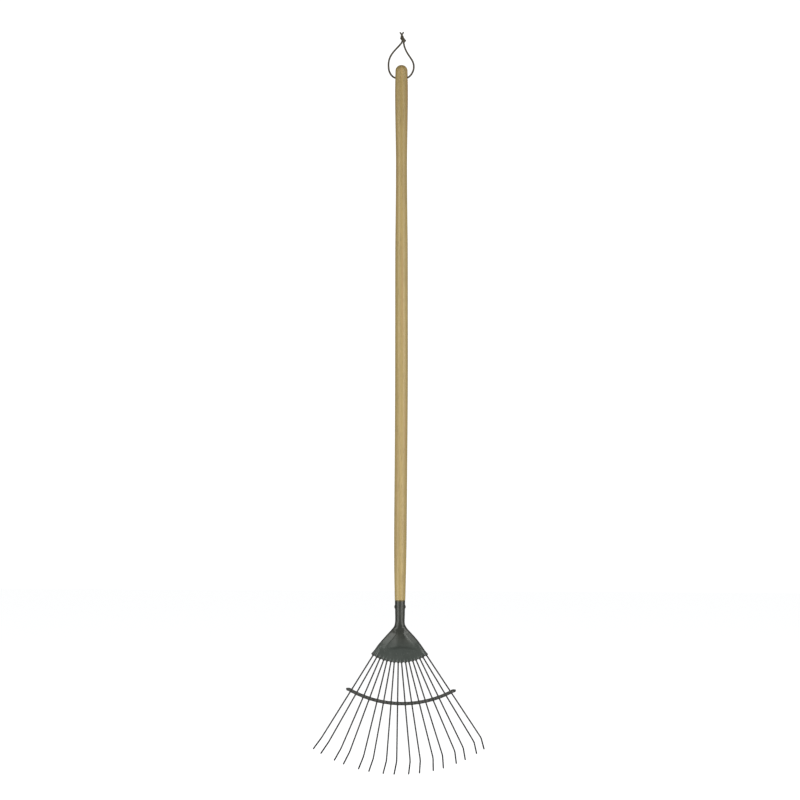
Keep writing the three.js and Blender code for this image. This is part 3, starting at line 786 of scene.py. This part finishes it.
def make_head_shell():
    half = SHEET / 2
    top = FAN_CENTRE_Z - shell_high.z
    inner = spaced(top + 2 * MM, -2 * MM, 14) + spaced(0, FAN_RADIUS - 1.5 * MM, 112)
    rows = with_rim(top, FAN_RADIUS, inner, half)
    # The columns crowd together towards the side edges, where the sheet turns back.
    edge_band = 0.14
    near_edge = [1 - edge_band * t**1.5 for t in spaced(0.12, 0.93, 15)]
    inside = spaced(edge_band - 1, 1 - edge_band, 141)
    inner_columns = [-a for a in near_edge] + inside + list(reversed(near_edge))
    middle, fullness, rim = [], [], []
    for radius, row_full in rows:
        half_arc = lerp(math.pi * SOCKET_FOOT_RADIUS, edge_reach(radius), unrolling(radius))
        columns = with_rim(-1, 1, inner_columns, half / half_arc)
        middle.append(sheet_row(radius, [across for across, _ in columns]))
        fullness.append([row_full * column_full for _, column_full in columns])
        # rim: 1 near the side edges of the opened fan, where the finish paints shade.
        fanned = smoothstep(radius, 20 * MM, 40 * MM)
        rim.append([
            fanned * (1 - smoothstep((1 - abs(across)) * half_arc, 1.2 * MM, 4 * MM))
            for across, _ in columns
        ])
    shell = thick_sheet("pressed_head", middle, fullness, SHEET, rim)
    drill(shell, pair_rivet_bits() + [socket_rivet_bit()])
    return shell


def make_rear_plate():
    half = REAR_THICKNESS / 2
    reach = edge_reach(FAN_RADIUS) / FAN_RADIUS - REAR_INSET
    angles = with_rim(-reach, reach, spaced(-reach + 0.02, reach - 0.02, 181), half / FAN_RADIUS)
    radii = with_rim(REAR_TOP_RADIUS, FAN_RADIUS - 0.5 * MM,
                     spaced(REAR_TOP_RADIUS + MM, FAN_RADIUS - 1.5 * MM, 40), half)
    middle, fullness = [], []
    for radius, row_full in radii:
        row = [fan_point(radius, angle - HEAD_LEAN, REAR_BACK_Y - half) for angle, _ in angles]
        middle.append([pressed(place, *PLATE_FLUTE) for place in row])
        fullness.append([row_full * column_full for _, column_full in angles])
    plate = thick_sheet("clamp_plate", middle, fullness, REAR_THICKNESS)
    drill(plate, pair_rivet_bits())
    return plate


head_shell = make_head_shell()
rear_plate = make_rear_plate()

# ---- rivets


def dome(base, head, rise):
    """A rivet head's (distance, radius) pairs, from its pole to its rim, standing up from base."""
    out = 1 if rise > 0 else -1
    profile = []
    for angle in spaced(0, math.pi / 2, 7):
        profile.append((base + rise * math.cos(angle) + out * 0.15 * MM, head * math.sin(angle)))
    profile.append((base, head - 0.1 * MM))
    return profile


def rivet(name, origin, axis, front, back, shank, head, rise):
    """A pin with a domed head at each end. front and back are the undersides of its heads."""
    shaft = [(front, shank), (back, shank)]
    profile = dome(front, head, -rise) + shaft + list(reversed(dome(back, head, rise)))
    return loft(name, revolve_rings(profile, origin, axis, 32), sharp_above=35)


def make_socket_rivet():
    grip = socket_radius(SOCKET_RIVET_Z) - 0.4 * MM
    origin = Vector((HEAD_X, 0, SOCKET_RIVET_Z))
    return rivet(
        "socket_pin", origin, Vector((1, 0, 0)), -grip, grip, shank=2 * MM, head=4.2 * MM, rise=1.9 * MM
    )


def make_pair_rivet(number, place):
    """Headed behind the clamp plate, and dressed almost flush in front."""
    face = FLANGE_Y - SHEET / 2 - 0.06 * MM
    flush = [(face, 0), (face, 1.6 * MM), (face + 0.12 * MM, 1.95 * MM), (face + 0.3 * MM, 2 * MM)]
    back = REAR_BACK_Y
    profile = flush + [(back, 2 * MM)] + list(reversed(dome(back, 3.4 * MM, 1.2 * MM)))
    origin = Vector((place.x, 0, place.z))
    rings = revolve_rings(profile, origin, Vector((0, 1, 0)), 32)
    return loft(f"hairpin_rivet_{number}", rings, sharp_above=35)


socket_rivet = make_socket_rivet()
pair_rivets = [make_pair_rivet(i + 1, place) for i, place in enumerate(rivet_places())]

# ---- brace


def brace_point(angle, y=WIRE_Y):
    """A point on the brace's middle line, at an angle round the brace's own centre."""
    x = HEAD_X + BRACE_OFFSET_X + BRACE_RADIUS * math.sin(angle)
    z = FAN_CENTRE_Z - BRACE_DEPTH + BRACE_RADIUS * (1 - math.cos(angle))
    return Vector((x, y, z))


def brace_crossing(pair, side):
    """The angle where a tine crosses the brace."""
    radius, angle = BRACE_DEPTH, 0
    for _ in range(20):
        on_leg = leg_point(pair, side, radius)
        angle = math.asin((on_leg.x - HEAD_X - BRACE_OFFSET_X) / BRACE_RADIUS)
        radius += on_leg.z - brace_point(angle).z
    return angle


CROSSINGS = [brace_crossing(pair, side) for pair in range(PAIRS) for side in (-1, 1)]
BRACE_RIVET_ANGLES = [
    (CROSSINGS[2 * pair + 1] + CROSSINGS[2 * pair + 2]) / 2 for pair in range(PAIRS - 1)
]
BRACE_END = 6.6 * MM               # how far the strip goes past its outermost foot


def brace_lift(angle):
    """Height of the strip's underside above the middle of the wires."""
    nearest = min(abs(angle - crossing) for crossing in CROSSINGS) * BRACE_RADIUS
    over = 1 - smoothstep(nearest, BRACE_TOP - 0.6 * MM, BRACE_FOOT + 0.2 * MM)
    return lerp(GAP / 2, WIRE / 2 + GAP / 3, over)


def brace_stations():
    """Stations from end to end: place on the middle line, direction across, lift and half width."""
    foot = BRACE_FOOT / BRACE_RADIUS
    low, high = CROSSINGS[0] - foot, CROSSINGS[-1] + foot
    stations = []
    for angle in spaced(low, high, 330):
        outward = Vector((math.sin(angle), 0, -math.cos(angle)))
        stations.append((brace_point(angle), outward, brace_lift(angle), BRACE_WIDTH / 2))
    for side, angle in ((-1, low), (1, high)):
        base = brace_point(angle)
        ending = []
        for t in [math.sin(turn) for turn in spaced(0, math.pi / 2, 14)[1:]]:
            half = BRACE_WIDTH / 2 * math.sqrt(1 - t**2) ** 0.8
            rise = 0.25 * MM * t + 0.42 * (BRACE_WIDTH / 2 - half)
            outward = Vector((math.sin(angle) * (1 - t), 0, -1)).normalized()
            ending.append((base + Vector((side * BRACE_END * t, 0, rise)), outward, GAP / 2, half))
        stations = list(reversed(ending)) + stations if side < 0 else stations + ending
    return stations


def make_brace_strip(name, facing):
    """A strip with a shallow crown across it, that steps over each tine. facing is -1 in front."""
    crown = 0.7 * MM
    half_thickness = BRACE_THICKNESS / 2
    middle, fullness = [], []
    stations = brace_stations()
    for number, (place, outward, lift, half) in enumerate(stations):
        across = with_rim(-1, 1, spaced(-0.8, 0.8, 13), min(half_thickness / max(half, MM), 0.3))
        end = min(number, len(stations) - 1 - number)
        row_full = min(math.sqrt(end / 6), 1) if end < 6 else 1
        row, row_fullness = [], []
        for t, column_full in across:
            bulge = crown * (1 - t**2) * clamp(half / (BRACE_WIDTH / 2))
            point = place + outward * (half * t)
            point.y = WIRE_Y + facing * (lift + half_thickness + bulge)
            row.append(point)
            row_fullness.append(row_full * column_full)
        middle.append(row)
        fullness.append(row_fullness)
    strip = thick_sheet(name, middle, fullness, BRACE_THICKNESS)
    places = [brace_point(angle) for angle in BRACE_RIVET_ANGLES]
    drill(strip, [drill_bit(place, Vector((0, 1, 0)), 8 * MM, 1.35 * MM, 24) for place in places])
    return strip


def make_brace_rivet(number, angle):
    grip = GAP / 2 + BRACE_THICKNESS + 0.55 * MM
    return rivet(
        f"brace_pin_{number}", brace_point(angle), Vector((0, 1, 0)), -grip, grip,
        shank=1.3 * MM, head=2.4 * MM, rise=0.8 * MM,
    )


brace_strips = [make_brace_strip("brace_strip_front", -1), make_brace_strip("brace_strip_rear", 1)]
brace_rivets = [make_brace_rivet(i + 1, angle) for i, angle in enumerate(BRACE_RIVET_ANGLES)]

# ---- finishes


class Finish:
    """A material's node tree, with a short call for each kind of node that the finishes use."""

    def __init__(self, name, sockets):
        self.material = bpy.data.materials.new(name)
        self.material.use_nodes = True
        self.tree = self.material.node_tree
        self.shader = self.tree.nodes["Principled BSDF"]
        for socket, value in sockets.items():
            self.shader.inputs[socket].default_value = value
        self.place = self.tree.nodes.new("ShaderNodeTexCoord").outputs["Object"]

    def node(self, kind, inputs, **settings):
        node = self.tree.nodes.new(kind)
        for name, value in settings.items():
            setattr(node, name, value)
        for name, value in inputs.items():
            if isinstance(value, bpy.types.NodeSocket):
                self.tree.links.new(value, node.inputs[name])
            else:
                node.inputs[name].default_value = value
        return node

    def stretched(self, scale, location=(0, 0, 0)):
        """The place on the piece, scaled per axis, in units per metre."""
        inputs = {"Vector": self.place, "Scale": scale, "Location": location}
        return self.node("ShaderNodeMapping", inputs).outputs["Vector"]

    def noise(self, scale, location=(0, 0, 0), detail=3.0, roughness=0.55, distortion=0.0):
        inputs = {
            "Vector": self.stretched(scale, location),
            "Scale": 1.0,
            "Detail": detail,
            "Roughness": roughness,
            "Distortion": distortion,
        }
        return self.node("ShaderNodeTexNoise", inputs).outputs["Fac"]

    def height(self):
        """Height in the object's frame, in metres."""
        return self.node("ShaderNodeSeparateXYZ", {"Vector": self.place}).outputs["Z"]

    def band(self, value, low, high, to_low=0.0, to_high=1.0):
        """value as it goes from low to high, softly turned into to_low to to_high."""
        inputs = {"Value": value, "From Min": low, "From Max": high, "To Min": to_low, "To Max": to_high}
        return self.node("ShaderNodeMapRange", inputs, interpolation_type="SMOOTHSTEP").outputs["Result"]

    def times(self, a, b):
        return self.node("ShaderNodeMath", {0: a, 1: b}, operation="MULTIPLY").outputs["Value"]

    def plus(self, a, b):
        return self.node("ShaderNodeMath", {0: a, 1: b}, operation="ADD").outputs["Value"]

    def blend(self, amount, a, b):
        inputs = {0: amount, 6: a, 7: b}
        return self.node("ShaderNodeMix", inputs, data_type="RGBA").outputs[2]

    def bump(self, height, distance, strength=1.0, under=None):
        inputs = {"Height": height, "Distance": distance, "Strength": strength}
        if under:
            inputs["Normal"] = under
        return self.node("ShaderNodeBump", inputs).outputs["Normal"]

    def set(self, socket, value):
        self.tree.links.new(value, self.shader.inputs[socket])


def colour(red, green, blue):
    """A colour given as it looks on a screen, 0 to 255, as the shader's linear values."""

    def linear(level):
        level /= 255
        return level / 12.92 if level <= 0.04045 else ((level + 0.055) / 1.055) ** 2.4

    return (linear(red), linear(green), linear(blue), 1)


def ash_finish():
    """Oiled ash: long growth bands, fine pores along the grain, darker and mottled where hands hold it."""
    finish = Finish("ash", {"Specular IOR Level": 0.45})
    height = finish.height()
    along = finish.band(height, HANDLE_TOP - 0.3, HANDLE_TOP - 0.03)
    body = finish.blend(along, colour(178, 156, 100), colour(158, 136, 81))
    bands = finish.noise((150, 150, 1.6), detail=3, roughness=0.5, distortion=0.6)
    body = finish.blend(finish.band(bands, 0.42, 0.66, 0, 0.55), body, colour(201, 178, 124))
    olive = finish.noise((95, 95, 1.1), location=(3, 7, 1), detail=2)
    body = finish.blend(finish.band(olive, 0.5, 0.72, 0, 0.5), body, colour(158, 145, 94))
    pink = finish.noise((120, 120, 1.9), location=(11, 2, 5), detail=2)
    body = finish.blend(finish.band(pink, 0.52, 0.72, 0, 0.45), body, colour(184, 147, 106))
    fibres = finish.noise((1500, 1500, 16), detail=4, roughness=0.65)
    body = finish.blend(finish.band(fibres, 0.3, 0.7, 0.22, 0), body, colour(132, 108, 66))
    pores = finish.noise((900, 900, 42), location=(5, 5, 5), detail=2)
    pore = finish.band(pores, 0.62, 0.7)
    body = finish.blend(finish.times(pore, 0.5), body, colour(98, 76, 44))
    held = finish.band(height, HANDLE_TOP - 0.06, HANDLE_TOP - 0.02)
    mottle = finish.noise((210, 210, 190), detail=2)
    mottled = finish.times(held, finish.band(mottle, 0.42, 0.7, 0, 0.4))
    body = finish.blend(mottled, body, colour(150, 134, 80))
    blush = finish.noise((260, 260, 230), location=(2, 4, 8), detail=2)
    blushed = finish.times(held, finish.band(blush, 0.5, 0.75, 0, 0.4))
    body = finish.blend(blushed, body, colour(184, 142, 100))
    worn = finish.noise((38, 38, 9), location=(1, 9, 4), detail=3)
    body = finish.blend(finish.band(worn, 0.5, 0.8, 0, 0.25), body, colour(140, 118, 78))
    finish.set("Base Color", body)
    finish.set("Roughness", finish.band(fibres, 0.3, 0.7, 0.48, 0.38))
    relief = finish.bump(fibres, 0.06 * MM)
    relief = finish.bump(finish.band(pores, 0.6, 0.7, 1, 0), 0.09 * MM, under=relief)
    relief = finish.bump(worn, 0.25 * MM, 0.6, under=relief)
    finish.set("Normal", relief)
    return finish.material


def steel_finish(name, base, light, dark, gloss, plate_tone=None, worn_and_shaded_edge=None, olive_band=None):
    """Dark coated steel: an orange-peel skin, cloudy tone, scuffs, dark worn metal along a lower edge that is
    also painted shade under its lip, and painted shade along the side edges.
    """
    finish = Finish(name, {"Specular IOR Level": 0.6, "Metallic": 0.25})
    cloud = finish.noise((45, 45, 45), detail=4, roughness=0.6)
    body = finish.blend(finish.band(cloud, 0.35, 0.7), base, light)
    patch = finish.noise((130, 130, 100), location=(4, 1, 7), detail=3)
    body = finish.blend(finish.band(patch, 0.52, 0.74, 0, 0.6), body, dark)
    scuff = finish.noise((900, 900, 130), location=(8, 3, 2), detail=4, roughness=0.7)
    scuffed = finish.band(scuff, 0.66, 0.78, 0, 0.5)
    body = finish.blend(scuffed, body, colour(128, 127, 118))
    # A paler, greener tone over the fan plate.
    if plate_tone:
        body = finish.blend(plate_tone(finish), body, colour(76, 82, 77))
    # An olive band on the socket just under the handle's shoulder.
    if olive_band:
        body = finish.blend(olive_band(finish), body, colour(92, 84, 52))
    # Dark worn metal along the lower edge, which also paints the shade under the lip.
    if worn_and_shaded_edge:
        grit = finish.noise((420, 420, 420), location=(2, 2, 9), detail=4, roughness=0.7)
        worn = finish.times(worn_and_shaded_edge(finish), finish.band(grit, 0.34, 0.56, 0.25, 0.95))
        body = finish.blend(worn, body, colour(34, 31, 27))
    # Painted shade: the sheet's side edges are darkened where the rim attribute is 1, and made rougher.
    rim = finish.node("ShaderNodeAttribute", {}, attribute_name="rim").outputs["Fac"]
    body = finish.blend(finish.times(rim, 0.85), body, colour(36, 37, 34))
    finish.set("Base Color", body)
    peel = finish.noise((700, 700, 700), location=(6, 6, 6), detail=2)
    rough = finish.plus(finish.band(cloud, 0.3, 0.7, gloss - 0.05, gloss + 0.06), finish.times(scuffed, 0.25))
    rough = finish.plus(rough, finish.times(rim, 0.35))
    finish.set("Roughness", rough)
    relief = finish.bump(peel, 0.012 * MM)
    relief = finish.bump(patch, 0.02 * MM, 0.6, under=relief)
    finish.set("Normal", relief)
    return finish.material


def from_fan_centre(finish):
    """Distance from the point that the tines spread from."""
    inputs = {0: finish.place, 1: (HEAD_X, FLANGE_Y, FAN_CENTRE_Z)}
    return finish.node("ShaderNodeVectorMath", inputs, operation="DISTANCE").outputs["Value"]


def paler_fan_plate(finish):
    """How much the fan plate is turned to a paler, greener tone, more with distance from the fan centre."""
    return finish.band(from_fan_centre(finish), 35 * MM, 88 * MM, 0, 0.8)


def lower_edge_wear_and_shade(finish):
    """1 along the lower edge of the head, 0 above it: worn metal there, and painted shade under the lip."""
    return finish.band(from_fan_centre(finish), FAN_RADIUS - 5 * MM, FAN_RADIUS)


def olive_under_shoulder(finish):
    """How much the head is tinted olive, just under the handle's shoulder."""
    return finish.band(finish.height(), SHOULDER_Z - 5 * MM, SHOULDER_Z - 1 * MM, 0, 0.7)


def thong_finish():
    """Waxed leather lace: a close grain of tiny creases, lighter where it is rubbed."""
    finish = Finish("thong", {"Specular IOR Level": 0.4, "Sheen Weight": 0.15})
    tone = finish.noise((160, 160, 160), detail=4, roughness=0.6)
    body = finish.blend(finish.band(tone, 0.35, 0.68), colour(58, 52, 38), colour(88, 80, 62))
    rubbed = finish.noise((520, 520, 520), location=(3, 8, 1), detail=3)
    body = finish.blend(finish.band(rubbed, 0.55, 0.75, 0, 0.6), body, colour(122, 108, 84))
    grain = finish.node(
        "ShaderNodeTexVoronoi",
        {"Vector": finish.stretched((1700, 1700, 1700)), "Scale": 1.0},
        feature="DISTANCE_TO_EDGE",
    ).outputs["Distance"]
    creases = finish.band(grain, 0.0, 0.14)
    body = finish.blend(finish.band(creases, 0, 1, 0.5, 0), body, colour(30, 25, 17))
    finish.set("Base Color", body)
    finish.set("Roughness", finish.band(tone, 0.3, 0.7, 0.62, 0.5))
    relief = finish.bump(creases, 0.08 * MM)
    finish.set("Normal", finish.bump(tone, 0.2 * MM, under=relief))
    return finish.material


ASH = ash_finish()
HEAD_STEEL = steel_finish(
    "coated_steel", colour(57, 59, 53), colour(65, 66, 59), colour(51, 53, 49), 0.36,
    plate_tone=paler_fan_plate, worn_and_shaded_edge=lower_edge_wear_and_shade, olive_band=olive_under_shoulder,
)
BRACE_STEEL = steel_finish("brace_steel", colour(52, 53, 49), colour(62, 62, 57), colour(42, 43, 40), 0.46)
WIRE_STEEL = steel_finish("tine_steel", colour(44, 45, 42), colour(54, 54, 51), colour(35, 36, 34), 0.5)
THONG = thong_finish()

# ---- which body carries what


def settle(piece, node, material, body="rake"):
    """The piece is drawn in place of a CAD node, takes its finish, and moves with a body."""
    piece.data.materials.clear()
    piece.data.materials.append(material)
    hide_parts(node)
    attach(piece, body)


settle(handle, "handle", ASH)
settle(head_shell, "head_shell", HEAD_STEEL)
settle(rear_plate, "rear_plate", HEAD_STEEL)
settle(socket_rivet, "socket_rivet", HEAD_STEEL)
for i, pin in enumerate(pair_rivets):
    settle(pin, f"pair_rivet_{i + 1}", HEAD_STEEL)
for i, wires in enumerate(tine_pairs):
    settle(wires, f"tine_pair_{i + 1}", WIRE_STEEL)
for strip, node in zip(brace_strips, ("brace_front", "brace_rear")):
    settle(strip, node, BRACE_STEEL)
for i, pin in enumerate(brace_rivets):
    settle(pin, f"brace_rivet_{i + 1}", BRACE_STEEL)
settle(thong, "hanging_cord", THONG, "loop")
settle(knot, "cord_knot", THONG, "loop")

# ---- floor and studio light

FLOOR_Z = cad_box[0][2] - 0.12     # the rake hangs clear of the floor
FLOOR_SIZE = 16
FLOOR_GLOW = 0.85
FILL_LIGHT = 0.16
STRIPS_Z = MIDDLE_Z - 0.4          # the strip lights are centred below the middle, towards the head


def make_floor():
    half = FLOOR_SIZE / 2
    corners = [Vector((x * half, y * half, FLOOR_Z)) for x, y in ((-1, -1), (1, -1), (1, 1), (-1, 1))]
    mesh = bpy.data.meshes.new("floor")
    mesh.from_pydata(corners, [], [(0, 1, 2, 3)])
    floor = bpy.data.objects.new("floor", mesh)
    bpy.context.scene.collection.objects.link(floor)
    paper = Finish("pale_paper", {
        "Base Color": (0.86, 0.86, 0.86, 1),
        "Roughness": 0.9,
        "Specular IOR Level": 0.1,
        "Emission Color": (1, 1, 1, 1),
        "Emission Strength": FLOOR_GLOW,
    })
    mesh.materials.append(paper.material)
    floor.visible_diffuse = False  # its glow whitens the picture, and lights nothing
    floor.visible_glossy = False
    floor.visible_shadow = False   # and the soft boxes reach below it


def soft_box(name, azimuth, distance, height, size, power):
    """A soft box, at an azimuth in degrees to the right of the camera. height is its own and its aim's."""
    own_height, aim_height = height
    aim = Vector((HEAD_X, 0, aim_height))
    turn = CAMERA_TURN + math.radians(azimuth)
    away = Vector((math.sin(turn), -math.cos(turn), 0))
    place = Vector((HEAD_X, 0, own_height)) + away * distance
    lamp = bpy.data.lights.new(name, "AREA")
    lamp.shape = "RECTANGLE"
    lamp.size, lamp.size_y = size
    lamp.energy = power
    light = bpy.data.objects.new(name, lamp)
    light.location = place
    light.rotation_euler = (aim - place).to_track_quat("-Z", "Y").to_euler()
    bpy.context.scene.collection.objects.link(light)


def make_world():
    """White to the camera, and a softer fill light to everything else."""
    world = bpy.data.worlds.new("studio")
    world.use_nodes = True
    tree = world.node_tree
    seen = tree.nodes["Background"]
    seen.inputs["Strength"].default_value = 1.1
    seen.inputs["Color"].default_value = (1, 1, 1, 1)
    fill = tree.nodes.new("ShaderNodeBackground")
    fill.inputs["Color"].default_value = (0.94, 0.97, 1, 1)
    fill.inputs["Strength"].default_value = FILL_LIGHT
    path = tree.nodes.new("ShaderNodeLightPath")
    mix = tree.nodes.new("ShaderNodeMixShader")
    tree.links.new(path.outputs["Is Camera Ray"], mix.inputs[0])
    tree.links.new(fill.outputs[0], mix.inputs[1])
    tree.links.new(seen.outputs[0], mix.inputs[2])
    tree.links.new(mix.outputs[0], tree.nodes["World Output"].inputs["Surface"])
    bpy.context.scene.world = world


make_floor()
make_world()
soft_box("left_strip", -48, 2.4, (STRIPS_Z, STRIPS_Z), (1.3, 4.6), 60)
soft_box("right_strip", 48, 2.4, (STRIPS_Z, STRIPS_Z), (1.3, 4.6), 65)
soft_box("top_light", 0, 1.2, (1.6, MIDDLE_Z), (2.0, 2.0), 8)
bpy.context.scene.view_settings.view_transform = "Standard"
